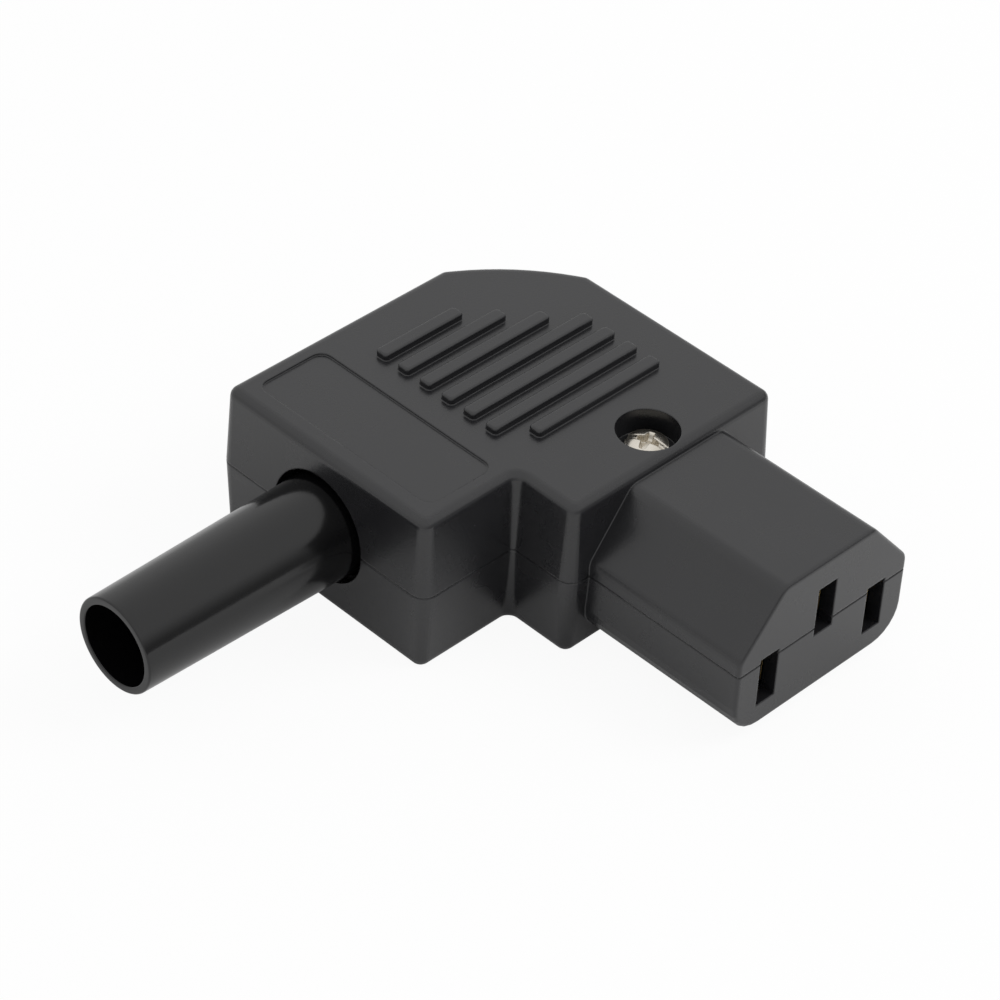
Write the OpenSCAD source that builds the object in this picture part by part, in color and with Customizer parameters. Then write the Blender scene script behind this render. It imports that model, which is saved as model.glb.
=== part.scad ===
// Rewirable right-angle C13 connector. Two moulded shells, held by one screw and nut,
// close round three contacts, their terminals and a cord clamp. A soft cable sleeve
// leaves the side. +X points out of the socket nose, +Z is up, and the origin is the
// centre of the engagement face, on the plane where the shells part.

/* [Nose] */
// Length of the nose from the shoulder to the engagement face
nose_len = 18; // [17.5:0.1:20]
// Width across the nose
nose_w = 22; // [21.6:0.1:23]
// Height of the nose above the parting plane
nose_top = 7.45; // [7.2:0.05:7.8]
// Depth of the nose below the parting plane
nose_bottom = 7.25; // [7:0.05:8]
// Width of the flat between the two upper chamfers
nose_flat_w = 11.8; // [9:0.1:13]
// Height taken by each upper chamfer
nose_chamfer_h = 5.9; // [4:0.1:6.4]
// Radius along the edges of the chamfers
nose_soft_r = 1.4; // [0.8:0.1:2]
// Radius of the two lower corners
nose_base_r = 3.4; // [2:0.1:4]
// Edge break round the engagement face
nose_lip = 0.35; // [0.2:0.05:0.6]

/* [Sockets] */
// Distance from the middle socket to each outer one
slot_pitch = 7; // [6.8:0.1:7.2]
// Height of the earth socket's centre above the parting plane
earth_z = 1.8; // [1.5:0.1:2.1]
// Drop from the earth socket's centre to the two others
pole_drop = 4; // [3.8:0.1:4.2]
// Width of each socket
slot_w = 2.4; // [2.3:0.05:2.6]
// Height of each socket
slot_h = 5.4; // [5:0.1:5.6]
// Thickness of the wall behind the engagement face
face_wall = 1.6; // [1.2:0.1:2]

/* [Body] */
// Length of the body behind the shoulder
body_len = 34; // [33:0.5:40]
// Distance from the nose's axis to the far side of the body
far_side = 13; // [12.8:0.1:15]
// Distance from the nose's axis to the face that the sleeve leaves
cable_side = 24.5; // [24:0.5:28]
// Height of the body above the parting plane
upper_h = 8.35; // [8.2:0.05:9]
// Depth of the body below the parting plane
lower_h = 8.65; // [8.5:0.05:9.5]
// Length of the notch beside the nose
notch_len = 7.2; // [6:0.1:8]
// Distance from the nose's axis to the notch
notch_side = 13.4; // [13:0.1:14]
// Size of the cut-off rear corner along each side
corner_cut = 10; // [6:0.5:12]
// Height of the cut corner's outward bow
corner_bow = 0.8; // [0.4:0.1:1.2]
// Radius of the upright corners
corner_r = 1.4; // [1.2:0.1:2]
// Radius of the notch's inner corner
notch_r = 0.5; // [0.3:0.1:1]
// Radius along the top and bottom edges
edge_r = 0.9; // [0.6:0.1:1.2]
// Lean of the upright walls from the parting plane to the edge
draft = 0.42; // [0.2:0.02:0.6]
// Thickness of the side walls at the parting plane
wall = 2; // [1.8:0.1:2.2]
// Thickness of the roof and of the floor
skin = 2; // [1.8:0.1:2.2]

/* [Parting line] */
// Depth of the fine groove where the shells meet
seam_deep = 0.12; // [0.05:0.01:0.2]
// Half of the groove's height
seam_half = 0.09; // [0.05:0.01:0.15]
// Thickness of the locating lip
lip_t = 0.8; // [0.6:0.1:0.9]
// Height of the locating lip
lip_h = 0.8; // [0.5:0.1:1]
// Clearance round the lip
lip_gap = 0.1; // [0.05:0.01:0.2]

/* [Grip ridges] */
// Number of ridges across the top
ridge_count = 7; // [5:1:7]
// Distance between ridges
ridge_pitch = 2.84; // [2.6:0.02:3]
// Width of a ridge
ridge_w = 1.45; // [1:0.05:1.8]
// Height of a ridge
ridge_h = 0.7; // [0.4:0.05:1]
// Radius along a ridge's upper edges
ridge_r = 0.2; // [0.1:0.05:0.3]
// Radius of a ridge's upright corners
ridge_end_r = 0.3; // [0.3:0.05:0.5]
// Distance from the body's rear side to the first ridge's middle
ridge_first = 6.6; // [6:0.1:8]
// Gap between the label recess and the ridges
ridge_label_gap = 3.1; // [2:0.1:4]
// Shortening of the ridge beside the notch
ridge_short = 2.7; // [0:0.1:4]
// Length of the first ridge
ridge_len = 9.9; // [8:0.1:11]
// Distance from the far side to the ends of the long ridges
ridge_far = 5.5; // [5:0.1:7]

/* [Label recess] */
// Length of the bare label recess
label_len = 22.4; // [18:0.1:23]
// Width of the label recess
label_w = 7.9; // [6:0.1:8.5]
// Depth of the label recess
label_deep = 0.22; // [0.1:0.02:0.4]
// Corner radius of the label recess
label_r = 1.2; // [0.6:0.1:2]
// Margin from the recess to the sleeve's face
label_margin_y = 2.6; // [2:0.1:3]
// Margin from the recess to the body's rear side
label_margin_x = 2.15; // [1.8:0.05:3]

/* [Cable sleeve] */
// Distance from the middle of the body's length back to the sleeve's axis
sleeve_back = 3.9; // [3.5:0.1:5]
// Length of the sleeve outside the body
sleeve_len = 23.6; // [18:0.5:30]
// Radius of the sleeve's bore, the largest cable that passes
sleeve_bore_r = 3.95; // [3.5:0.05:4.1]
// Outer radius at the tip
sleeve_tip_r = 4.72; // [4.4:0.02:4.9]
// Outer radius where the sleeve leaves the body
sleeve_root_r = 5.1; // [4.95:0.05:5.4]
// Rounding of the tip's outer edge
sleeve_edge_r = 0.2; // [0.1:0.05:0.3]
// Radius of the opening in the body
sleeve_hole_r = 5.7; // [5.55:0.05:6]
// Radius of the flange inside the body
flange_r = 6.6; // [6.3:0.1:6.8]
// Thickness of the flange
flange_t = 1.6; // [1.2:0.1:2]
// Clearance round the flange
flange_gap = 0.15; // [0.1:0.05:0.2]
// Thickness of the collar that holds the flange
collar_t = 1.9; // [1.5:0.1:2.2]
// Thickness of the collar beside the flange
collar_side = 1.4; // [1.2:0.1:1.6]

/* [Housing screw] */
// Distance from the shoulder to the screw's axis
screw_back = 4.1; // [4:0.1:4.6]
// Radius of the recess over the screw
recess_r = 3; // [2.6:0.1:3.1]
// Depth of the recess to the seat of the screw
recess_deep = 2.6; // [2:0.1:3]
// Radius of the screw's shank
shank_r = 1.15; // [1:0.05:1.25]
// Radius of the screw's head
head_r = 2.05; // [1.9:0.05:2.3]
// Height of the head's straight rim
head_rim = 1.0; // [0.7:0.1:1.2]
// Height of the head's dome above its rim
head_dome = 0.6; // [0.4:0.1:0.8]
// Radial clearance round the shank
shank_gap = 0.15; // [0.1:0.05:0.2]
// Length of shank that stands past the nut
shank_past = 0.3; // [0.1:0.1:0.5]
// Thickness of the cup round the recess
cup_wall = 1.2; // [1:0.1:1.4]
// Radius of the boss under the recess
boss_r = 2.8; // [2.6:0.1:3]
// Width of the nut across its flats
nut_af = 4.5; // [4.2:0.1:5]
// Thickness of the nut
nut_t = 1.8; // [1.4:0.1:2]
// Depth of the nut's pocket in the base
nut_pocket = 3.2; // [2.6:0.1:3.6]

/* [Contacts] */
// Thickness of the contact sheet
sheet_t = 0.5; // [0.4:0.05:0.6]
// Height of the contact leaves
leaf_h = 4.4; // [4:0.1:4.6]
// Length of the leaves
leaf_len = 12.4; // [11:0.2:12.4]
// Distance from the middle of a contact to the middle of its leaf, at the root
leaf_y = 1.55; // [1.45:0.05:1.6]
// Inward bow of each leaf
leaf_bow = 0.5; // [0.3:0.05:0.6]
// Width of the tail
tail_w = 2.4; // [2:0.1:2.4]
// Clearance round contacts and tails in their pockets
pocket_gap = 0.2; // [0.1:0.05:0.25]
// Thickness of the spring clip
clip_t = 0.3; // [0.2:0.05:0.35]
// Length of the clip's bridge
clip_bridge = 3; // [2:0.5:4]

/* [Terminals] */
// Length of a terminal block
block_len = 6; // [5.6:0.2:6.4]
// Width of a terminal block
block_w = 5; // [4.6:0.2:5]
// Height of a terminal block
block_h = 6; // [5.6:0.1:6.2]
// Radius of the wire tunnel
tunnel_r = 1.65; // [1.6:0.05:1.8]
// Height of the tunnel's axis above the block's underside
tunnel_z = 2.2; // [2.1:0.1:2.3]
// Distance from the shoulder to the outer blocks
block_back = 10.2; // [10:0.1:11]
// Distance from the outer blocks to the earth block
earth_step = 8; // [7:0.5:8.5]
// Radius of the terminal screws
clamp_r = 1.45; // [1.2:0.05:1.45]
// Radius of a terminal screw's head
clamp_head_r = 2.3; // [2:0.1:2.4]
// Height of a terminal screw's head
clamp_head_h = 1.6; // [1.2:0.1:1.7]
// Gap under a terminal screw's head
clamp_lift = 0.3; // [0.1:0.1:0.4]
// Clearance round and over a terminal screw's head
well_gap = 0.15; // [0.1:0.05:0.2]
// Gap from a terminal screw's point to the tunnel's axis
point_gap = 0.6; // [0.4:0.1:1]
// Width of the slot in the clamping screws
drive_w = 0.6; // [0.5:0.1:0.8]

/* [Cord clamp] */
// Distance from the sleeve's face to the middle of the clamp
clamp_in = 9; // [8.5:0.1:10]
// Width of the clamp bar
bar_w = 4; // [3:0.2:4.4]
// Thickness of the clamp bar
bar_t = 1.5; // [1.2:0.1:1.6]
// Distance from the cable's axis to each clamp screw
bar_screw = 7.3; // [7.2:0.1:7.6]
// Radius of the arch over the cable
arch_r = 3.95; // [3.6:0.05:4.1]
// Height of the bar's ears against the parting plane
bar_z = -0.9; // [-1.2:0.1:-0.5]
// Radius of the clamp screws
bar_screw_r = 1.1; // [1:0.05:1.2]
// Length of a clamp screw under its head
bar_screw_len = 6; // [5:0.5:7]
// Radius of a clamp screw's head
bar_head_r = 1.8; // [1.6:0.1:1.8]
// Height of a clamp screw's head
bar_head_h = 1.3; // [1:0.1:1.5]
// Distance from a clamp screw's axis to the bar's end
bar_ear = 1.9; // [1.8:0.1:2.2]
// Depth of the saddle's flanks below the bar
saddle_drop = 1.5; // [1.2:0.1:2]
// Gap under a clamp screw's point
bar_point_gap = 0.5; // [0.3:0.1:1]
// Radius of the posts under the clamp screws
post_r = 2; // [1.9:0.1:2.3]

/* [Colours] */
// Shells
shell_colour = "#3f3f42";
// Sleeve
sleeve_colour = "#17171a";
// Plated screws and nut
steel_colour = "#c9c5bd";
// Contacts and terminal blocks
brass_colour = "#c9a24a";

/* [Hidden] */
$fn = 64;

// A little extra that cutting shapes run past the faces they cut.
over = 0.5;
// Running clearance of threads and other close fits.
fit = 0.05;
// Angle covered by one step of a rounded corner, and the smallest radius of an inset one.
arc_step = 15;
least_r = 0.4;

// The main places, measured from the engagement face.
shoulder_x = -nose_len;
rear_x = shoulder_x - body_len;
notch_x = shoulder_x - notch_len;
sleeve_x = shoulder_x - body_len / 2 - sleeve_back;
screw_x = shoulder_x - screw_back;
block_x = shoulder_x - block_back;
contact_back_x = -face_wall - pocket_gap - leaf_len;
clamp_y = -cable_side + clamp_in;
pole_z = earth_z - pole_drop;
floor_z = skin - lower_h;
roof_z = upper_h - skin;
seat_z = upper_h - recess_deep;
nut_z = nut_pocket - lower_h;

// Each pole: its distance from the axis and the height of its contact's centre.
earth_at = [0, earth_z];
line_at = [-slot_pitch, pole_z];
neutral_at = [slot_pitch, pole_z];
poles = [earth_at, line_at, neutral_at];

// ---- Plane geometry ------------------------------------------------------------

function unit(v) = v / norm(v);
function flat(v) = [v[0], v[1]];
function left_of(v) = [-v[1], v[0]];
function turn(a, b) = sign(a[0] * b[1] - a[1] * b[0]);

// Corners are [x, y, radius, steps], listed anticlockwise; steps may be left out.
function before(list, i) = list[(i + len(list) - 1) % len(list)];
function after(list, i) = list[(i + 1) % len(list)];

// Moves every side of an outline inwards by d, and fits the corner radii to it.
function inset(corners, d) = [for (i = [0:len(corners) - 1])
    let (here = corners[i],
         come = unit(flat(here) - flat(before(corners, i))),
         go = unit(flat(after(corners, i)) - flat(here)),
         a = left_of(come),
         b = left_of(go),
         at = flat(here) + d * (a + b) / (1 + a * b))
    [at[0], at[1], max(here[2] - turn(come, go) * d, least_r), here[3]]];

// The arc that rounds one corner.
function corner_arc(p, q, s) =
    let (back = unit(flat(p) - flat(q)),
         on = unit(flat(s) - flat(q)),
         half = acos(back * on) / 2,
         centre = flat(q) + unit(back + on) * q[2] / sin(half),
         sweep = 180 - 2 * half,
         steps = is_undef(q[3]) ? max(2, ceil(sweep / arc_step)) : q[3],
         way = turn(-back, on),
         from = flat(q) + back * q[2] / tan(half) - centre,
         first = atan2(from[1], from[0]))
    [for (k = [0:steps]) centre + q[2] * [cos(first + way * sweep * k / steps),
                                          sin(first + way * sweep * k / steps)]];

function outline(corners) = [for (i = [0:len(corners) - 1])
    each corner_arc(before(corners, i), corners[i], after(corners, i))];

function box_corners(x0, y0, x1, y1, r) = [[x0, y0, r], [x1, y0, r], [x1, y1, r], [x0, y1, r]];

// A band of constant width along a path, for sheet metal.
function path_side(path, d) = [for (i = [0:len(path) - 1])
    let (last = len(path) - 1,
         come = unit(i > 0 ? path[i] - path[i - 1] : path[1] - path[0]),
         go = unit(i < last ? path[i + 1] - path[i] : path[last] - path[last - 1]),
         a = left_of(come),
         b = left_of(go))
    path[i] + d * (a + b) / (1 + a * b)];

module band(path, width) {
    left = path_side(path, width / 2);
    right = path_side(path, -width / 2);
    polygon(concat(right, [for (i = [len(left) - 1:-1:0]) left[i]]));
}

// Skins a pile of outlines. Each level is [height, inset].
module loft(corners, levels) {
    rings = [for (level = levels) [for (p = outline(inset(corners, level[1]))) [p[0], p[1], level[0]]]];
    n = len(rings[0]);
    m = len(rings);
    sides = [for (k = [0:m - 2]) for (i = [0:n - 1])
        [k * n + i, (k + 1) * n + i, (k + 1) * n + (i + 1) % n, k * n + (i + 1) % n]];
    caps = [[for (i = [0:n - 1]) i], [for (i = [n - 1:-1:0]) (m - 1) * n + i]];
    polyhedron([for (ring = rings) each ring], concat(sides, caps), convexity = 6);
}

// Levels of a wall that leans in by lean over height h and ends in an edge of radius r.
// It may start some way below zero, on the same slope.
function rounded_levels(h, lean, r, steps = 5, below = 0) = concat([[-below, -lean * below / h]], [for (k = [0:steps])
    let (a = 90 * k / steps)
    [h - r + r * sin(a), lean * (h - r + r * sin(a)) / h + r * (1 - cos(a))]]);

// ---- Shell outlines ------------------------------------------------------------

// The middle of the cut corner's bow, where the tangents of its ends meet. The arc takes
// a share of the bow's full radius, so that it ends before the corners beside it.
bow_share = 0.85;
bow_steps = 8;
cut_chord = corner_cut * sqrt(2);
bow_out = 2 * corner_bow;
bow_r = (pow(cut_chord / 2, 2) + pow(corner_bow, 2)) / (2 * corner_bow);
bow_at = [rear_x + corner_cut / 2 - bow_out / sqrt(2), far_side - corner_cut / 2 + bow_out / sqrt(2)];

body_corners = [
    [rear_x, -cable_side, corner_r],
    [notch_x, -cable_side, corner_r],
    [notch_x, -notch_side, notch_r],
    [shoulder_x, -notch_side, corner_r],
    [shoulder_x, far_side, corner_r],
    [rear_x + corner_cut, far_side, corner_r],
    [bow_at[0], bow_at[1], bow_share * bow_r, bow_steps],
    [rear_x, far_side - corner_cut, corner_r]];

// The nose's section, looking back along -X: first number is Y, second is Z.
nose_corners = [
    [-nose_w / 2, -nose_bottom, nose_base_r],
    [nose_w / 2, -nose_bottom, nose_base_r],
    [nose_w / 2, nose_top - nose_chamfer_h, nose_soft_r],
    [nose_flat_w / 2, nose_top, nose_soft_r],
    [-nose_flat_w / 2, nose_top, nose_soft_r],
    [-nose_w / 2, nose_top - nose_chamfer_h, nose_soft_r]];

// Outside of one body half, standing on the parting plane.
module body_half(h) {
    intersection() {
        loft(body_corners, rounded_levels(h, draft, edge_r, below = over));
        half_space(1);
    }
}

// The whole nose, rooted in the body's front wall.
module nose() {
    root = shoulder_x - wall / 2;
    levels = [for (level = rounded_levels(-root, 0, nose_lip, 3)) [root + level[0], level[1]]];
    rotate([90, 0, 90]) loft(nose_corners, levels);
}

// Everything on one side of the parting plane; side is 1 above it and -1 below it.
module half_space(side) {
    reach = 4 * body_len;
    translate([-reach / 2, -reach / 2, side > 0 ? 0 : -reach]) cube(reach);
}

module nose_half(side) {
    intersection() {
        nose();
        half_space(side);
    }
}

// The fine groove round the parting line, nose and engagement face included.
module seam_groove() {
    reach = 4 * body_len;
    difference() {
        translate([-reach / 2, -reach / 2, -seam_half]) cube([reach, reach, 2 * seam_half]);
        translate([0, 0, -over]) linear_extrude(2 * over) {
            polygon(outline(inset(body_corners, seam_deep)));
            translate([shoulder_x - wall / 2, -nose_w / 2 + seam_deep])
                square([nose_len + wall / 2 - seam_deep, nose_w - 2 * seam_deep]);
        }
    }
}

// The hollow of one half, between the walls and the roof or floor.
module hollow(h) {
    translate([0, 0, -over]) linear_extrude(h - skin + over)
        polygon(outline(inset(body_corners, wall)));
}

// Plan of the locating lip, between two insets of the body's outline. It is left out
// at the nose and at the sleeve's collar.
module lip_plan(outer, inner) {
    difference() {
        polygon(outline(inset(body_corners, outer)));
        polygon(outline(inset(body_corners, inner)));
        translate([shoulder_x - wall - over, -nose_w / 2 - over]) square([wall + 2 * over, nose_w + 2 * over]);
        translate([sleeve_x - collar_half - lip_gap, -cable_side - over])
            square([2 * (collar_half + lip_gap), wall + 3 * over]);
    }
}

// The lip stands on the lower half's walls, and the rebate in the upper half takes it.
module lip() {
    translate([0, 0, -over]) linear_extrude(lip_h + over) lip_plan(wall - lip_t, wall - fit);
}

module lip_rebate() {
    translate([0, 0, -over]) linear_extrude(lip_h + lip_gap + over)
        lip_plan(wall - lip_t - lip_gap, wall + over);
}

// ---- Sleeve seat ---------------------------------------------------------------

wall_y = -cable_side + wall;
flange_y = wall_y + flange_gap;
collar_y = flange_y + flange_t + flange_gap;
collar_half = flange_r + collar_side;

module along_y(y0, y1, r) {
    translate([sleeve_x, y0, 0]) rotate([-90, 0, 0]) cylinder(h = y1 - y0, r = r);
}

module collar(side, h) {
    top = h - skin + over;
    translate([sleeve_x - collar_half, wall_y - over, side > 0 ? 0 : -top])
        cube([2 * collar_half, collar_y + collar_t - wall_y + over, top]);
}

module sleeve_cuts() {
    along_y(-cable_side - over, wall_y + over, sleeve_hole_r);
    along_y(wall_y, collar_y, flange_r + flange_gap);
    along_y(collar_y - over, collar_y + collar_t + over, sleeve_bore_r + 2 * flange_gap);
}

// ---- Contact pockets -----------------------------------------------------------

// Distances from a contact's centre height to its web, and half its widest span.
web_z = -leaf_h / 2 - sheet_t;
clip_half = leaf_y + sheet_t / 2 + fit + clip_t;
socket_half = clip_half + pocket_gap;
// Heights of a pocket against the contact's centre.
socket_low = web_z - pocket_gap;
socket_high = leaf_h / 2 + clip_t + fit + pocket_gap;

// A tail starts under the web and ends past the middle of its block. The earth tail
// steps aside to pass the screw's boss.
tail_root = 1;
tail_reach = 2;
tail_start_x = contact_back_x + tail_root;
tail_end = block_len / 2 + tail_reach;
tail_gap = 0.5;
tail_side = -boss_r - tail_gap - tail_w / 2;
bend_root = 0.3;
bend_out = 3.1;
bend_back = 2.4;
boss_ease = 0.6;
bend_x = contact_back_x + bend_root;
past_boss_x = screw_x - boss_r + boss_ease;

function straight_tail() = [[tail_start_x, 0], [block_x - tail_end, 0]];
function stepped_tail() = [
    [tail_start_x, 0],
    [bend_x, 0],
    [bend_x - bend_out, tail_side],
    [past_boss_x, tail_side],
    [past_boss_x - bend_back, 0],
    [block_x - earth_step - tail_end, 0]];
function tail_path(pole) = pole == earth_at ? stepped_tail() : straight_tail();

module pocket(pole) {
    translate([0, pole[0], pole[1]]) {
        translate([contact_back_x - pocket_gap, -socket_half, socket_low])
            cube([-contact_back_x + pocket_gap - face_wall, 2 * socket_half, socket_high - socket_low]);
        translate([-face_wall - over, -slot_w / 2, -slot_h / 2])
            cube([face_wall + 2 * over, slot_w, slot_h]);
    }
}

// The channel that a tail lies in, open at the parting plane.
module tail_channel(pole) {
    low = pole[1] + web_z - pocket_gap;
    translate([0, pole[0], low]) linear_extrude(over - low)
        band(tail_path(pole), tail_w + 2 * pocket_gap);
}

module socket_cuts() {
    for (pole = poles) pocket(pole);
}

// ---- Outside details -----------------------------------------------------------

label_x = rear_x + label_margin_x;
label_y = -cable_side + label_margin_y;

module label_recess() {
    translate([0, 0, upper_h - label_deep]) linear_extrude(over + ridge_h)
        polygon(outline(box_corners(label_x, label_y, label_x + label_len, label_y + label_w, label_r)));
}

// The ridges end along the cut corner, then along the far side.
ridge_y = label_y + label_w + ridge_label_gap;

module ridge(i) {
    x = rear_x + ridge_first + i * ridge_pitch;
    from = ridge_y + (i == ridge_count - 1 ? ridge_short : 0);
    to = min(ridge_y + ridge_len + i * ridge_pitch, far_side - ridge_far);
    corners = box_corners(x - ridge_w / 2, from, x + ridge_w / 2, to, ridge_end_r);
    levels = [for (level = rounded_levels(ridge_h + over, 0, ridge_r, 2)) [upper_h - over + level[0], level[1]]];
    loft(corners, levels);
}

// ---- Screw seat ----------------------------------------------------------------

module along_z(x, y, z0, z1, r) {
    translate([x, y, z0]) cylinder(h = z1 - z0, r = r);
}

module screw_cuts() {
    along_z(screw_x, 0, seat_z, upper_h + over, recess_r);
    along_z(screw_x, 0, nut_z - over, seat_z + over, shank_r + shank_gap);
    translate([screw_x, 0, -lower_h - over])
        cylinder(h = nut_pocket + over, r = (nut_af / 2 + pocket_gap) / cos(30), $fn = 6);
}

// ---- Terminal supports ---------------------------------------------------------

// Underside of a pole's terminal block, set by where its tail lies in the tunnel.
tail_drop = sqrt(pow(tunnel_r - fit, 2) - pow(tail_w / 2, 2));
function block_low(pole) = pole[1] + web_z + tail_drop - tunnel_z;
function block_mid_x(pole) = pole == earth_at ? block_x - earth_step - block_len / 2 : block_x - block_len / 2;

cheek_t = 1;
cheek_h = 2;

// A pedestal with a cheek on each side, from the floor up past the block's underside.
module pedestal(pole) {
    half = block_w / 2 + fit + cheek_t;
    translate([block_mid_x(pole) - block_len / 2, pole[0] - half, floor_z - over])
        cube([block_len, 2 * half, block_low(pole) + cheek_h - floor_z + over]);
}

// The seat between the cheeks. It sinks into the floor where the block reaches that low.
module block_seat(pole) {
    translate([block_mid_x(pole) - block_len / 2 - over, pole[0] - block_w / 2 - fit, block_low(pole)])
        cube([block_len + 2 * over, block_w + 2 * fit, cheek_h + over]);
}

// Room over a terminal screw's head, sunk into the roof where the head reaches that high.
module screw_well(pole) {
    top = block_low(pole) + block_h + clamp_lift + clamp_head_h + well_gap;
    along_z(block_mid_x(pole), pole[0], 0, top, clamp_head_r + well_gap);
}

// A saddle under the cable, and a post under each clamp screw.
module clamp_supports() {
    difference() {
        translate([sleeve_x - bar_screw, clamp_y - bar_w / 2, floor_z - over])
            cube([2 * bar_screw, bar_w, bar_z - saddle_drop - floor_z + over]);
        along_y(clamp_y - bar_w / 2 - over, clamp_y + bar_w / 2 + over, arch_r + fit);
    }
    for (s = [-1, 1])
        along_z(sleeve_x + s * bar_screw, clamp_y, floor_z - over, bar_z, post_r);
}

module clamp_screw_holes() {
    for (s = [-1, 1])
        along_z(sleeve_x + s * bar_screw, clamp_y, bar_z - bar_screw_len, bar_z + over, bar_screw_r + fit);
}

// ---- Shells --------------------------------------------------------------------

cup_r = recess_r + cup_wall;

module upper_shell() {
    color(shell_colour) difference() {
        union() {
            difference() {
                body_half(upper_h);
                hollow(upper_h);
            }
            nose_half(1);
            collar(1, upper_h);
            along_z(screw_x, 0, seat_z - cup_wall, roof_z + over, cup_r);
            along_z(screw_x, 0, 0, roof_z, boss_r);
            for (i = [0:ridge_count - 1]) ridge(i);
        }
        lip_rebate();
        seam_groove();
        sleeve_cuts();
        socket_cuts();
        screw_cuts();
        for (pole = poles) screw_well(pole);
        label_recess();
    }
}

module lower_shell() {
    color(shell_colour) difference() {
        union() {
            difference() {
                mirror([0, 0, 1]) body_half(lower_h);
                mirror([0, 0, 1]) hollow(lower_h);
            }
            nose_half(-1);
            collar(-1, lower_h);
            along_z(screw_x, 0, floor_z - over, 0, boss_r);
            for (pole = poles) pedestal(pole);
            clamp_supports();
            lip();
        }
        seam_groove();
        sleeve_cuts();
        socket_cuts();
        for (pole = poles) tail_channel(pole);
        for (pole = poles) block_seat(pole);
        screw_cuts();
        clamp_screw_holes();
    }
}

// ---- Sleeve --------------------------------------------------------------------

module cable_sleeve() {
    tip = -sleeve_len;
    inner = flange_y + flange_t + cable_side;
    profile = [
        [sleeve_bore_r, tip],
        [sleeve_tip_r - sleeve_edge_r, tip],
        [sleeve_tip_r, tip + sleeve_edge_r],
        [sleeve_root_r, 0],
        [sleeve_root_r, flange_y + cable_side],
        [flange_r, flange_y + cable_side],
        [flange_r, inner],
        [sleeve_bore_r, inner]];
    color(sleeve_colour) translate([sleeve_x, -cable_side, 0]) rotate([-90, 0, 0])
        rotate_extrude() polygon(profile);
}

// ---- Screws and nut ------------------------------------------------------------

// The recess in a head: the cross's reach and arm as shares of the head's radius, with
// its depth, and the slot across it.
cross_reach = 0.6;
cross_arm = 0.28;
cross_deep = 0.9;
slot_arm = 0.2;
slot_deep = 0.5;

// A round-topped head with a cross and slot recess, seated at z = 0.
module screw_head(r, rim, dome) {
    ball = (r * r + dome * dome) / (2 * dome);
    top = rim + dome;
    difference() {
        intersection() {
            cylinder(h = top, r = r);
            translate([0, 0, top - ball]) sphere(r = ball);
        }
        for (a = [0, 90]) rotate([0, 0, a])
            translate([-cross_reach * r, -cross_arm * r / 2, top - cross_deep])
                cube([2 * cross_reach * r, cross_arm * r, cross_deep + over]);
        translate([-r, -slot_arm * r / 2, top - slot_deep]) cube([2 * r, slot_arm * r, slot_deep + over]);
    }
}

module housing_screw() {
    color(steel_colour) translate([screw_x, 0, 0]) {
        translate([0, 0, seat_z]) screw_head(head_r, head_rim, head_dome);
        translate([0, 0, nut_z - nut_t - shank_past])
            cylinder(h = seat_z - nut_z + nut_t + shank_past + fit, r = shank_r);
    }
}

module housing_nut() {
    color(steel_colour) translate([screw_x, 0, nut_z - nut_t - fit]) difference() {
        cylinder(h = nut_t, r = nut_af / 2 / cos(30), $fn = 6);
        translate([0, 0, -over]) cylinder(h = nut_t + 2 * over, r = shank_r + fit);
    }
}

// ---- Contacts ------------------------------------------------------------------

leaf_steps = 16;
// Share of the leaf's length that the web joins.
web_share = 0.35;
// Share of the leaf's length, from its mouth, at which it is nearest the blade.
nip = 0.28;

// One leaf's centre line, from the root to the flared mouth.
function leaf_path(out) = [for (k = [0:leaf_steps])
    let (u = k / leaf_steps,
         x = contact_back_x + u * leaf_len,
         v = (u - (1 - nip)) / nip,
         bow = v < 0 ? cos(90 * v * nip / (1 - nip)) : cos(90 * v))
    [x, leaf_y + out - leaf_bow * pow(bow, 2)]];

module leaf(out, thick) {
    band(leaf_path(out), thick);
}

module contact(pole) {
    color(brass_colour) translate([0, pole[0], pole[1]]) {
        translate([0, 0, -leaf_h / 2 - fit]) linear_extrude(leaf_h + fit) {
            leaf(0, sheet_t);
            mirror([0, 1]) leaf(0, sheet_t);
        }
        translate([0, 0, web_z]) linear_extrude(sheet_t) {
            translate([contact_back_x, -leaf_y - sheet_t / 2])
                square([web_share * leaf_len, 2 * leaf_y + sheet_t]);
            band(tail_path(pole), tail_w);
        }
    }
}

// A steel clip that backs both leaves and bridges over their roots.
module contact_spring(pole) {
    out = sheet_t / 2 + fit + clip_t / 2;
    color(steel_colour) translate([0, pole[0], pole[1]]) {
        translate([0, 0, -leaf_h / 4]) linear_extrude(leaf_h * 3 / 4 + fit + clip_t) {
            leaf(out, clip_t);
            mirror([0, 1]) leaf(out, clip_t);
        }
        translate([contact_back_x, -clip_half, leaf_h / 2 + fit]) cube([clip_bridge, 2 * clip_half, clip_t]);
    }
}

// ---- Terminals -----------------------------------------------------------------

module terminal_block(pole) {
    color(brass_colour) translate([block_mid_x(pole), pole[0], block_low(pole)]) difference() {
        translate([-block_len / 2, -block_w / 2, 0]) cube([block_len, block_w, block_h]);
        translate([-block_len / 2 - over, 0, tunnel_z]) rotate([0, 90, 0])
            cylinder(h = block_len + 2 * over, r = tunnel_r);
        translate([0, 0, tunnel_z]) cylinder(h = block_h, r = clamp_r + fit);
    }
}

module slotted_screw(r, head, head_h, length) {
    difference() {
        union() {
            translate([0, 0, -length]) cylinder(h = length + head_h / 2, r = r);
            cylinder(h = head_h, r = head);
        }
        translate([-head - over, -drive_w / 2, head_h / 2]) cube([2 * (head + over), drive_w, head_h]);
    }
}

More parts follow.
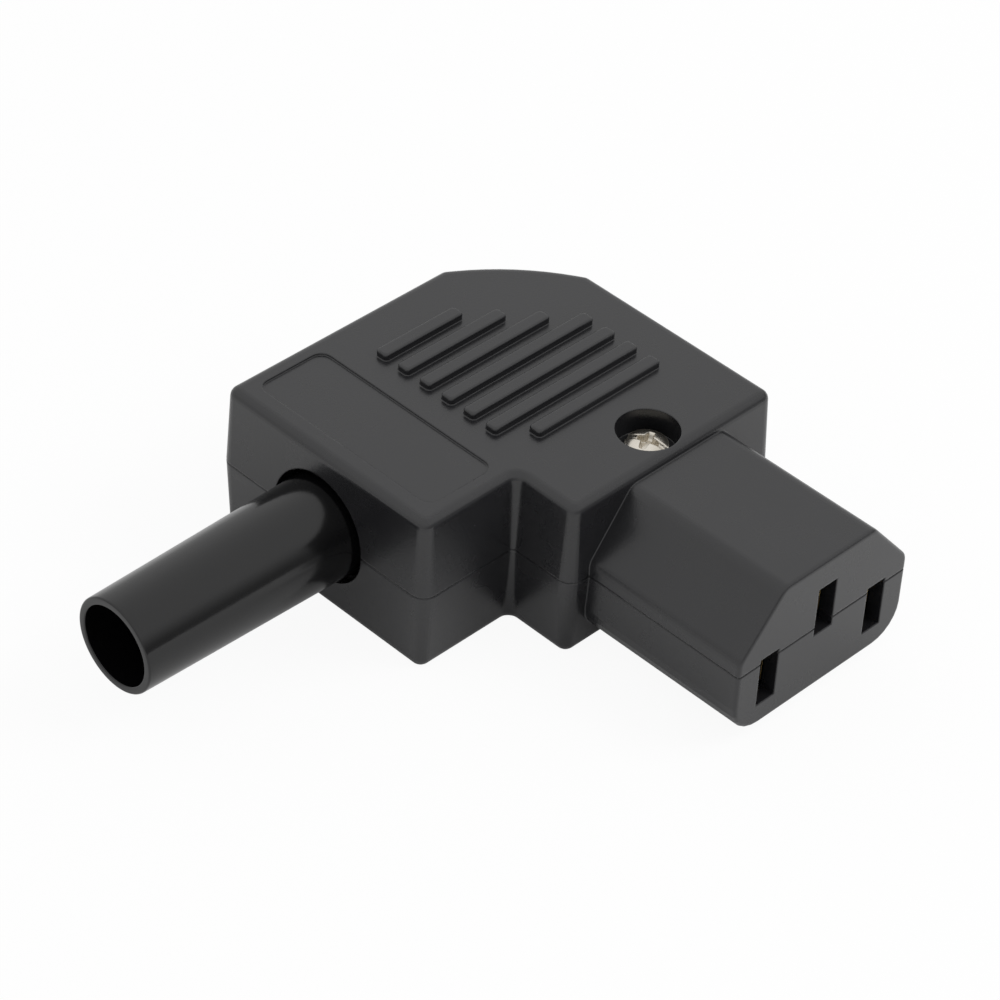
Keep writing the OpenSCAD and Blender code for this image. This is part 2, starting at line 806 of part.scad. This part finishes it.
module terminal_screw(pole) {
    reach = block_h - tunnel_z + clamp_lift - point_gap;
    color(steel_colour) translate([block_mid_x(pole), pole[0], block_low(pole) + block_h + clamp_lift])
        slotted_screw(clamp_r, clamp_head_r, clamp_head_h, reach);
}

// ---- Cord clamp ----------------------------------------------------------------

module cord_clamp_bar() {
    ear = bar_screw + bar_ear;
    color(steel_colour) difference() {
        union() {
            translate([sleeve_x - ear, clamp_y - bar_w / 2, bar_z]) cube([2 * ear, bar_w, bar_t]);
            intersection() {
                along_y(clamp_y - bar_w / 2, clamp_y + bar_w / 2, arch_r + bar_t);
                translate([sleeve_x - ear, clamp_y - bar_w, bar_z]) cube([2 * ear, 2 * bar_w, 2 * arch_r]);
            }
        }
        along_y(clamp_y - bar_w, clamp_y + bar_w, arch_r);
        for (s = [-1, 1])
            along_z(sleeve_x + s * bar_screw, clamp_y, bar_z - over, bar_z + bar_t + over, bar_screw_r + 3 * fit);
    }
}

module cord_clamp_screw(s) {
    color(steel_colour) translate([sleeve_x + s * bar_screw, clamp_y, bar_z + bar_t])
        slotted_screw(bar_screw_r, bar_head_r, bar_head_h, bar_screw_len + bar_t - bar_point_gap);
}

// ---- Nodes ---------------------------------------------------------------------

upper_shell();
lower_shell();
cable_sleeve();
housing_screw();
housing_nut();
contact(earth_at);  // contact_earth
contact(line_at);  // contact_line
contact(neutral_at);  // contact_neutral
contact_spring(earth_at);  // contact_spring_earth
contact_spring(line_at);  // contact_spring_line
contact_spring(neutral_at);  // contact_spring_neutral
terminal_block(earth_at);  // terminal_block_earth
terminal_block(line_at);  // terminal_block_line
terminal_block(neutral_at);  // terminal_block_neutral
terminal_screw(earth_at);  // terminal_screw_earth
terminal_screw(line_at);  // terminal_screw_line
terminal_screw(neutral_at);  // terminal_screw_neutral
cord_clamp_bar();
cord_clamp_screw(1);  // cord_clamp_screw_front
cord_clamp_screw(-1);  // cord_clamp_screw_rear
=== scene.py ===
"""Right-angle rewirable connector: two grained shells, a glossy cable sleeve, a plated
housing screw with its nut, and the contacts, terminals and cord clamp inside."""

import math

import bpy
import bmesh
import numpy as np
from mathutils import Matrix, Vector


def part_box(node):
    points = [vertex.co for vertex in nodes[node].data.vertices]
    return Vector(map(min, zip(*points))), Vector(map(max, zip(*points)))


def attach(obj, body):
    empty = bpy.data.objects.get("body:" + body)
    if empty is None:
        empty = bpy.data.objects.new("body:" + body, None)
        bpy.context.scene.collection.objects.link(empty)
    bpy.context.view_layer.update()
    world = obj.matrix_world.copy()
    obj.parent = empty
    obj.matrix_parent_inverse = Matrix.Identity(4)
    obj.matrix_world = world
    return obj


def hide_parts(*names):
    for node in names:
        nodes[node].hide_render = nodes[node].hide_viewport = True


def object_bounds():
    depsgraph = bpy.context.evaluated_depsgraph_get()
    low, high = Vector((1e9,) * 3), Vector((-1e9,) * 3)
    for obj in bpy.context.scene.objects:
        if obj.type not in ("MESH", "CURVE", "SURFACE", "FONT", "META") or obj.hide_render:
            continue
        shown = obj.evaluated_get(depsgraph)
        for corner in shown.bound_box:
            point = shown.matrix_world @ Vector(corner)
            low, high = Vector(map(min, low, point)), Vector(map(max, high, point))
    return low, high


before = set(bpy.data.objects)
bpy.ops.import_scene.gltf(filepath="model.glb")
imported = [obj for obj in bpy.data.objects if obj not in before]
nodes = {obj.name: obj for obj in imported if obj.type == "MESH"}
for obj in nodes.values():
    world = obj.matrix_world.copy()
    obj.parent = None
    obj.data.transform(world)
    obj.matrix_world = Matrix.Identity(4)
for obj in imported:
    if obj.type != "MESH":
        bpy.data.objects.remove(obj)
cad_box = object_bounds()

MM = 0.001


# ---- Meshes ----------------------------------------------------------------------


def surface(name, points):
    """A mesh from a grid of points, rows by columns by three. The columns close on
    themselves, and a first or last row that is one point is merged into a pole."""
    rows, columns, _ = points.shape
    index = np.arange(rows * columns).reshape(rows, columns)
    across = np.roll(index, -1, axis=1)
    faces = np.stack([index[:-1], across[:-1], across[1:], index[1:]], -1).reshape(-1, 4)
    mesh = bpy.data.meshes.new(name)
    mesh.from_pydata(points.reshape(-1, 3), [], faces)
    tidy_mesh(mesh)
    piece = bpy.data.objects.new(name, mesh)
    bpy.context.scene.collection.objects.link(piece)
    return piece


def tidy_mesh(mesh):
    """Merges doubled points, turns the faces outwards and shades them smooth."""
    shape = bmesh.new()
    shape.from_mesh(mesh)
    bmesh.ops.remove_doubles(shape, verts=shape.verts, dist=1e-7)
    bmesh.ops.recalc_face_normals(shape, faces=shape.faces)
    shape.to_mesh(mesh)
    shape.free()
    mesh.shade_smooth()


def turned(profile, columns):
    """A profile of (radius, height) rows turned round Z: each row becomes a ring."""
    angle = np.linspace(0, 2 * np.pi, columns, endpoint=False)
    radius, height = np.asarray(profile, float).T
    return np.stack(
        [
            radius[:, None] * np.cos(angle),
            radius[:, None] * np.sin(angle),
            np.broadcast_to(height[:, None], (len(radius), columns)),
        ],
        -1,
    )


def smooth_step(low, high, x):
    """0 below low, 1 above high, and a smooth cubic between them."""
    t = np.clip((x - low) / (high - low), 0, 1)
    return t * t * (3 - 2 * t)


def finer(profile, step):
    """The same profile with points no further apart than step."""
    out = [profile[0]]
    for a, b in zip(profile[:-1], profile[1:]):
        a, b = np.array(a, float), np.array(b, float)
        n = max(1, int(np.ceil(np.linalg.norm(b - a) / step)))
        out += [tuple(a + (b - a) * k / n) for k in range(1, n + 1)]
    return out


def fillet(centre, radius, start, end, steps=6):
    """Points on an arc round centre, from one angle to another in degrees."""
    return [
        (
            centre[0] + radius * math.cos(math.radians(a)),
            centre[1] + radius * math.sin(math.radians(a)),
        )
        for a in np.linspace(start, end, steps + 1)
    ]


# ---- Node helpers ----------------------------------------------------------------


def add(tree, kind, inputs=None, **settings):
    """A node with its settings, whose inputs are values or the sockets that feed them."""
    made = tree.nodes.new(kind)
    for key, value in settings.items():
        setattr(made, key, value)
    for key, value in (inputs or {}).items():
        if isinstance(value, bpy.types.NodeSocket):
            tree.links.new(value, made.inputs[key])
        else:
            made.inputs[key].default_value = value
    return made


def maths(tree, operation, *values):
    """One Math node's result."""
    return add(tree, "ShaderNodeMath", dict(enumerate(values)), operation=operation).outputs[0]


def spread(tree, value, low, high, to_low, to_high, kind="SMOOTHSTEP"):
    """One Map Range node's result."""
    inputs = {0: value, 1: low, 2: high, 3: to_low, 4: to_high}
    return add(tree, "ShaderNodeMapRange", inputs, interpolation_type=kind).outputs[0]


def noise(tree, at, scale, detail, roughness):
    """One Noise Texture node's value."""
    inputs = {"Vector": at, "Scale": scale, "Detail": detail, "Roughness": roughness}
    return add(tree, "ShaderNodeTexNoise", inputs).outputs[0]


def blend_value(tree, factor, a, b):
    """One float Mix node's result."""
    return add(tree, "ShaderNodeMix", {0: factor, 2: a, 3: b}, data_type="FLOAT").outputs[0]


def blend_colour(tree, factor, a, b):
    """One colour Mix node's result."""
    made = add(tree, "ShaderNodeMix", {0: factor}, data_type="RGBA")
    for socket, value in ((made.inputs[6], a), (made.inputs[7], b)):
        if isinstance(value, bpy.types.NodeSocket):
            tree.links.new(value, socket)
        else:
            socket.default_value = (*value, 1)
    return made.outputs[2]


def reflected(tree, path):
    """1 on a ray that a glossy or clear surface sent on, from a Light Path's outputs."""
    return maths(tree, "MAXIMUM", path["Is Glossy Ray"], path["Is Transmission Ray"])


def group(name, inputs, outputs):
    """An empty shader node group with float inputs, and outputs of the kinds given."""
    tree = bpy.data.node_groups.new(name, "ShaderNodeTree")
    for label, value in inputs.items():
        socket = tree.interface.new_socket(label, in_out="INPUT", socket_type="NodeSocketFloat")
        socket.default_value = value
    for label, kind in outputs.items():
        tree.interface.new_socket(label, in_out="OUTPUT", socket_type="NodeSocket" + kind)
    given = tree.nodes.new("NodeGroupInput").outputs
    return tree, given, tree.nodes.new("NodeGroupOutput").inputs


def use(tree, made, values):
    """A node group placed in a material with its own values."""
    return add(tree, "ShaderNodeGroup", values, node_tree=made)


# ---- Shared effects --------------------------------------------------------------


def make_mould_grain():
    """Fine eroded grain with slow waviness, as a height, and broad patches of sheen."""
    tree, given, out = group(
        "mould_grain",
        {"Grain": 5200, "Waves": 260, "Wave share": 0.25},
        {"Height": "Float", "Patches": "Float"},
    )
    at = add(tree, "ShaderNodeTexCoord").outputs["Object"]
    grain = noise(tree, at, given["Grain"], 3, 0.6)
    waves = noise(tree, at, given["Waves"], 2, 0.5)
    slow = maths(tree, "MULTIPLY", waves, given["Wave share"])
    tree.links.new(maths(tree, "ADD", grain, slow), out["Height"])
    patches = noise(tree, at, 90, 4, 0.65)
    tree.links.new(spread(tree, patches, 0.35, 0.65, 0, 1), out["Patches"])
    return tree


def make_soft_edges():
    """The surface's normal, rounded along its edges, and a mask of how near an edge is."""
    tree, given, out = group("soft_edges", {"Radius": 0.0003}, {"Normal": "Vector", "Edge": "Float"})
    rounded = add(tree, "ShaderNodeBevel", {"Radius": given["Radius"]}, samples=8).outputs[0]
    plain = add(tree, "ShaderNodeNewGeometry").outputs["Normal"]
    both = {0: rounded, 1: plain}
    along = add(tree, "ShaderNodeVectorMath", both, operation="DOT_PRODUCT")
    tree.links.new(rounded, out["Normal"])
    tree.links.new(spread(tree, along.outputs["Value"], 0.995, 0.8, 0, 1), out["Edge"])
    return tree


def make_scuffs():
    """Sparse fine scratches in two directions and small rubbed spots, as masks."""
    tree, given, out = group("scuffs", {"Amount": 0.5}, {"Scratches": "Float", "Rubs": "Float"})
    at = add(tree, "ShaderNodeTexCoord").outputs["Object"]
    lines = []
    for turn, seed in ((0.5, 3.1), (-0.9, 8.7)):
        placed = {
            "Vector": at,
            "Location": (seed, seed, seed),
            "Rotation": (0, 0, turn),
            "Scale": (60, 2600, 900),
        }
        laid = add(tree, "ShaderNodeMapping", placed).outputs[0]
        lines.append(spread(tree, noise(tree, laid, 1, 1, 0.4), 0.74, 0.8, 0, 1))
    both = maths(tree, "MAXIMUM", *lines)
    sparse = spread(tree, noise(tree, at, 150, 2, 0.5), 0.55, 0.7, 0, 1)
    kept = maths(tree, "MULTIPLY", both, sparse)
    tree.links.new(maths(tree, "MULTIPLY", kept, given["Amount"]), out["Scratches"])
    spots = spread(tree, noise(tree, at, 700, 4, 0.7), 0.62, 0.75, 0, 1)
    tree.links.new(maths(tree, "MULTIPLY", spots, given["Amount"]), out["Rubs"])
    return tree


mould_grain = make_mould_grain()
soft_edges = make_soft_edges()
scuffs = make_scuffs()


# ---- Finishes --------------------------------------------------------------------


def finish_material(name, **plain):
    """A material with its Principled shader and the values that are the same all over."""
    material = bpy.data.materials.new(name)
    material.use_nodes = True
    tree = material.node_tree
    shader = tree.nodes["Principled BSDF"]
    for key, value in plain.items():
        shader.inputs[key].default_value = value
    return material, tree, shader


def relief(tree, shader, height, depth, normal=None):
    """A bump that feeds the shader's normal."""
    inputs = {"Height": height, "Distance": depth}
    if normal is not None:
        inputs["Normal"] = normal
    bump = add(tree, "ShaderNodeBump", inputs)
    tree.links.new(bump.outputs[0], shader.inputs["Normal"])


def moulded_black():
    """Matt black moulded plastic: fine grain, a little unevenness of sheen, edges that
    are slightly polished by handling, and a painted highlight that lightens the colour along the
    edges."""
    material, tree, shader = finish_material("moulded_black", IOR=1.57)
    grain = use(tree, mould_grain, {"Grain": 4200, "Waves": 240, "Wave share": 0.5})
    edges = use(tree, soft_edges, {"Radius": 0.00022})
    marks = use(tree, scuffs, {"Amount": 0.5})
    patches, edge = grain.outputs["Patches"], edges.outputs["Edge"]
    body = blend_colour(tree, patches, (0.0095, 0.0095, 0.0108), (0.0115, 0.0115, 0.013))
    # painted highlight: the colour is lightened near the edges, standing in for light caught by the
    # rounded edges
    edge_highlight = maths(tree, "MULTIPLY", edge, 0.12)
    with_edge_highlight = blend_colour(tree, edge_highlight, body, (0.07, 0.07, 0.075))
    scratched = maths(tree, "MULTIPLY", marks.outputs["Scratches"], 0.25)
    rubbed = blend_colour(tree, scratched, with_edge_highlight, (0.09, 0.09, 0.095))
    tree.links.new(rubbed, shader.inputs["Base Color"])
    rough = spread(tree, patches, 0, 1, 0.25, 0.30, "LINEAR")
    polish = maths(tree, "MULTIPLY", edge, 0.06)
    tree.links.new(maths(tree, "SUBTRACT", rough, polish), shader.inputs["Roughness"])
    relief(tree, shader, grain.outputs["Height"], 0.00001, edges.outputs["Normal"])
    return material


def glossy_vinyl():
    """Glossy black vinyl: smooth, with slow waviness and faint scuffs."""
    material, tree, shader = finish_material("glossy_vinyl", IOR=1.5)
    grain = use(tree, mould_grain, {"Grain": 900, "Waves": 160, "Wave share": 2})
    marks = use(tree, scuffs, {"Amount": 0.6})
    deep, scuffed = (0.0025, 0.0025, 0.0028), (0.03, 0.03, 0.032)
    colour = blend_colour(tree, marks.outputs["Scratches"], deep, scuffed)
    tree.links.new(colour, shader.inputs["Base Color"])
    rough = spread(tree, grain.outputs["Patches"], 0, 1, 0.13, 0.18, "LINEAR")
    dulled = maths(tree, "MULTIPLY", marks.outputs["Rubs"], 0.08)
    tree.links.new(maths(tree, "ADD", rough, dulled), shader.inputs["Roughness"])
    relief(tree, shader, grain.outputs["Height"], 0.000006)
    return material


def bright_metal(name, colour, dull, rough, wear):
    """Plated or rolled metal: patches of tarnish, fine scratches and bright edges."""
    material, tree, shader = finish_material(name, Metallic=1)
    grain = use(tree, mould_grain, {"Grain": 2600, "Waves": 700, "Wave share": 1})
    edges = use(tree, soft_edges, {"Radius": 0.00008})
    marks = use(tree, scuffs, {"Amount": wear})
    patches = grain.outputs["Patches"]
    stained = blend_colour(tree, maths(tree, "MULTIPLY", patches, 0.6), colour, dull)
    rubbed = blend_colour(tree, marks.outputs["Rubs"], stained, dull)
    tree.links.new(rubbed, shader.inputs["Base Color"])
    uneven = spread(tree, patches, 0, 1, rough, rough + 0.1, "LINEAR")
    scored = maths(tree, "MULTIPLY", marks.outputs["Scratches"], 0.2)
    tree.links.new(maths(tree, "ADD", uneven, scored), shader.inputs["Roughness"])
    relief(tree, shader, grain.outputs["Height"], 0.000005, edges.outputs["Normal"])
    return material


finishes = {
    "shell_plastic": moulded_black(),
    "sleeve_vinyl": glossy_vinyl(),
}
for name, colour, dull, rough, wear in (
    ("plated_steel", (0.78, 0.74, 0.67), (0.42, 0.38, 0.31), 0.2, 0.7),
    ("spring_steel", (0.56, 0.57, 0.58), (0.34, 0.34, 0.34), 0.3, 0.5),
    ("contact_brass", (0.83, 0.62, 0.27), (0.5, 0.34, 0.14), 0.26, 0.5),
):
    finishes[name] = bright_metal(name, colour, dull, rough, wear)
for node in nodes.values():
    for place in node.material_slots:
        place.material = finishes[place.material.name.split(".")[0]]


# ---- Cable sleeve ----------------------------------------------------------------


def make_sleeve():
    """The sleeve as a profile turned round its axis: a tapered tube with a rounded rim,
    and a flange inside the body."""
    low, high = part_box("cable_sleeve")
    axis_x, axis_z = (low.x + high.x) / 2, (low.z + high.z) / 2
    length = high.y - low.y
    bore, tip, root, rim = 3.95 * MM, 4.72 * MM, 5.1 * MM, 0.2 * MM
    outside = 23.6 * MM
    inner_rim = 0.12 * MM
    flange_r = (high.z - low.z) / 2
    flange_from = length - 1.6 * MM
    soft = 0.15 * MM
    profile = (
        fillet((bore + inner_rim, inner_rim), inner_rim, 180, 270)
        + fillet((tip - rim, rim), rim, -90, 0, 8)
        + [(root, outside), (root, flange_from)]
        + fillet((flange_r - soft, flange_from + soft), soft, -90, 0)
        + fillet((flange_r - soft, length - soft), soft, 0, 90)
        + [(bore, length)]
    )
    profile.append(profile[0])
    rings = turned(finer(profile, 0.8 * MM), 144)
    x, y, z = np.moveaxis(rings, -1, 0)
    points = np.stack([axis_x + x, low.y + z, axis_z - y], -1)
    piece = surface("cable_sleeve_tube", points)
    piece.data.materials.append(finishes["sleeve_vinyl"])
    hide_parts("cable_sleeve")
    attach(piece, "root")


make_sleeve()


# ---- Housing screw ---------------------------------------------------------------


def make_housing_screw():
    """The screw turned round its axis: a domed head with a tapered cross and a slot sunk
    into it, a rounded rim and a shank with a helical thread."""
    low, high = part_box("housing_screw")
    centre = (low + high) / 2
    head_r, shank_r = (high.x - low.x) / 2, 1.15 * MM
    dome, seat = 0.6 * MM, high.z - 1.6 * MM
    pitch, thread = 0.5 * MM, 0.1 * MM
    ball = (head_r**2 + dome**2) / (2 * dome)
    rim, rim_drop, chamfer, point = 0.12 * MM, 0.1 * MM, 0.05 * MM, 0.2 * MM
    reach, half, deep, slot_deep = 0.66 * head_r, 0.24 * head_r, 0.8 * MM, 0.34 * MM
    out = np.linspace(0, head_r - rim, 90)
    top = [(r, high.z - ball + math.sqrt(ball**2 - r * r)) for r in out]
    edge = fillet((head_r - rim, top[-1][1] - rim_drop), rim, 60, 0)
    under = [(head_r, seat + chamfer), (head_r - chamfer, seat), (shank_r, seat)]
    down = [(shank_r, z) for z in np.linspace(seat, low.z + point, 150)[1:]]
    profile = top + edge + under + down + [(shank_r - point, low.z), (0, low.z)]
    rings = turned(profile, 128)
    x, y, z = (a.copy() for a in np.moveaxis(rings, -1, 0))
    radius, angle = np.hypot(x, y), np.arctan2(y, x)

    def arm(u, v):
        """A groove along u whose floor rises and whose sides close in towards its ends."""
        along = np.clip(1 - np.abs(u) / reach, 0, 1)
        width = half * (0.55 + 0.45 * along)
        sides = 1 - smooth_step(width * 0.55, width * 1.15, np.abs(v))
        return deep * smooth_step(0, 0.45, along) * sides

    turn = math.radians(20)
    u = x * math.cos(turn) + y * math.sin(turn)
    v = y * math.cos(turn) - x * math.sin(turn)
    slot = slot_deep * (1 - smooth_step(0.09 * head_r, 0.17 * head_r, np.abs(v)))
    sunk = np.maximum(np.maximum(arm(u, v), arm(v, u)), slot)
    on_top = np.arange(len(profile))[:, None] < len(top) + len(edge)
    z -= np.where(on_top, sunk, 0)
    turns = (z - low.z) / pitch - angle / (2 * np.pi)
    ridge = np.abs(turns - np.floor(turns) - 0.5) * 2
    starts = smooth_step(low.z + 0.1 * MM, low.z + 0.7 * MM, z)
    ends = starts * (1 - smooth_step(seat - 2 * MM, seat - 1.4 * MM, z))
    on_shank = ~on_top & (np.abs(radius - shank_r) < 1e-6)
    scale = np.where(on_shank, 1 - thread / shank_r * ends * ridge, 1)
    points = np.stack([centre.x + x * scale, centre.y + y * scale, z], -1)
    piece = surface("housing_screw_turned", points)
    piece.data.materials.append(finishes["plated_steel"])
    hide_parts("housing_screw")
    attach(piece, "root")


make_housing_screw()


# ---- Stage -----------------------------------------------------------------------


def make_floor():
    """A white floor at the base: white to the camera with the object's soft shadow kept,
    plain matt white to the light, and clear from below."""
    level = cad_box[0].z
    half = 6.0
    mesh = bpy.data.meshes.new("floor")
    corners = [(half * x, half * y, level) for x, y in ((-1, -1), (1, -1), (1, 1), (-1, 1))]
    mesh.from_pydata(corners, [], [(0, 1, 2, 3)])
    piece = bpy.data.objects.new("floor", mesh)
    bpy.context.scene.collection.objects.link(piece)
    material = bpy.data.materials.new("floor_white")
    material.use_nodes = True
    tree = material.node_tree
    tree.nodes.clear()
    path = add(tree, "ShaderNodeLightPath").outputs
    matt = add(tree, "ShaderNodeBsdfDiffuse", {"Color": (0.92, 0.92, 0.92, 1)})
    glow = add(tree, "ShaderNodeEmission", {"Color": (1, 1, 1, 1), "Strength": 1})
    seen = maths(tree, "MULTIPLY", path["Is Camera Ray"], 0.93)
    mirrored = maths(tree, "MULTIPLY", reflected(tree, path), 0.1)
    share = maths(tree, "MAXIMUM", seen, mirrored)
    lit = add(tree, "ShaderNodeMixShader", {0: share, 1: matt.outputs[0], 2: glow.outputs[0]})
    facing_down = add(tree, "ShaderNodeNewGeometry").outputs["Backfacing"]
    below = maths(tree, "MULTIPLY", facing_down, path["Is Camera Ray"])
    clear = add(tree, "ShaderNodeBsdfTransparent")
    both = add(tree, "ShaderNodeMixShader", {0: below, 1: lit.outputs[0], 2: clear.outputs[0]})
    add(tree, "ShaderNodeOutputMaterial", {"Surface": both.outputs[0]})
    mesh.materials.append(material)


def make_world():
    """A pale studio: bright overhead, most so in reflections, darker towards the horizon
    on one side, and white to the camera."""
    world = bpy.data.worlds.new("studio")
    bpy.context.scene.world = world
    world.use_nodes = True
    tree = world.node_tree
    tree.nodes.clear()
    way = add(tree, "ShaderNodeTexCoord").outputs["Generated"]
    parts = add(tree, "ShaderNodeSeparateXYZ", {0: way}).outputs
    dim_side = (0.87, 0.5)
    shares = [maths(tree, "MULTIPLY", parts[axis], dim_side[axis]) for axis in (0, 1)]
    side = maths(tree, "ADD", *shares)
    horizon = spread(tree, side, -0.3, 0.9, 0.78, 0.3)
    height = spread(tree, parts[2], 0.1, 0.62, 0, 1)
    path = add(tree, "ShaderNodeLightPath").outputs
    zenith = blend_value(tree, reflected(tree, path), 0.75, 0.97)
    sky = blend_value(tree, height, horizon, zenith)
    strength = blend_value(tree, path["Is Camera Ray"], sky, 1.0)
    back = add(tree, "ShaderNodeBackground", {"Color": (1, 1, 1, 1), "Strength": strength})
    add(tree, "ShaderNodeOutputWorld", {"Surface": back.outputs[0]})


def make_lamp(name, towards, distance, size, radiance, mirrored):
    """A square soft light that looks at the object's middle. Its power follows from the
    brightness that its face should have, and a glossy surface may mirror it or not."""
    middle = (cad_box[0] + cad_box[1]) / 2
    way = Vector(towards).normalized()
    light = bpy.data.lights.new(name, "AREA")
    light.shape = "SQUARE"
    light.size = size
    light.energy = radiance * math.pi * size * size
    lamp = bpy.data.objects.new(name, light)
    lamp.location = middle + way * distance
    lamp.rotation_mode = "QUATERNION"
    lamp.rotation_quaternion = way.to_track_quat("Z", "Y")
    lamp.visible_glossy = mirrored
    bpy.context.scene.collection.objects.link(lamp)


def make_camera():
    """The camera looks down at the object from beyond the nose and the sleeve."""
    azimuth, elevation, roll = math.radians(43.349), math.radians(40.034), math.radians(3.263)
    level = math.cos(elevation)
    back = Vector((math.sin(azimuth) * level, -math.cos(azimuth) * level, math.sin(elevation)))
    across = Vector((math.cos(azimuth), math.sin(azimuth), 0))
    upwards = back.cross(across)
    right = math.cos(roll) * across + math.sin(roll) * upwards
    up = math.cos(roll) * upwards - math.sin(roll) * across
    target = Vector((-30.754, -9.525, 0)) * MM
    distance = 339.146
    data = bpy.data.cameras.new("camera")
    data.sensor_width = 36
    data.lens = 134.9
    data.clip_start, data.clip_end = 0.01, 50
    camera = bpy.data.objects.new("camera", data)
    turn = Matrix((right, up, back)).transposed()
    camera.matrix_world = Matrix.Translation(target + back * distance * MM) @ turn.to_4x4()
    bpy.context.scene.collection.objects.link(camera)
    bpy.context.scene.camera = camera


make_floor()
make_world()
key_way, key_distance = (0.53, 0.5, 0.69), 0.6
make_lamp("key_lamp", key_way, key_distance, size=0.3, radiance=4.6, mirrored=False)
make_lamp("glow_lamp", key_way, key_distance, size=0.1, radiance=1.5, mirrored=True)
make_camera()
bpy.context.scene.view_settings.view_transform = "Standard"
